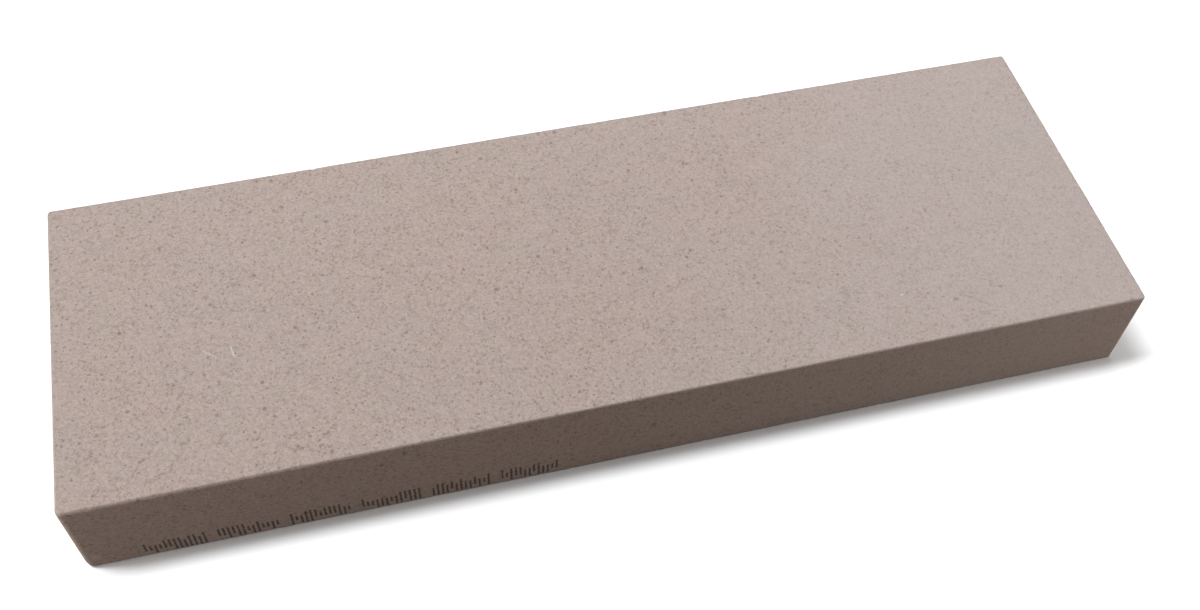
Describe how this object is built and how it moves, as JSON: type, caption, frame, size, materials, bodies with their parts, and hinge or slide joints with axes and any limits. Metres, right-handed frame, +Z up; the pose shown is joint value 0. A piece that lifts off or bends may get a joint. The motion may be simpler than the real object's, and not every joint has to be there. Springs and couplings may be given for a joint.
{
  "type": "sharpening whetstone",
  "caption": "Flat rectangular sharpening stone: a solid block of bonded abrasive grit with lightly eased edges and small rounded corners, used lying flat on a bench.",
  "frame": {"origin": "centre of the lower face, where the block rests on the bench", "axes": "+X along the length, +Y across the width, +Z up through the thickness to the working face"},
  "size_m": [0.21, 0.07, 0.0215],
  "materials": {
    "bonded_abrasive": "matte"
  },
  "bodies": {
    "root": {"whetstone_block": "bonded_abrasive"}
  },
  "joints": []
}
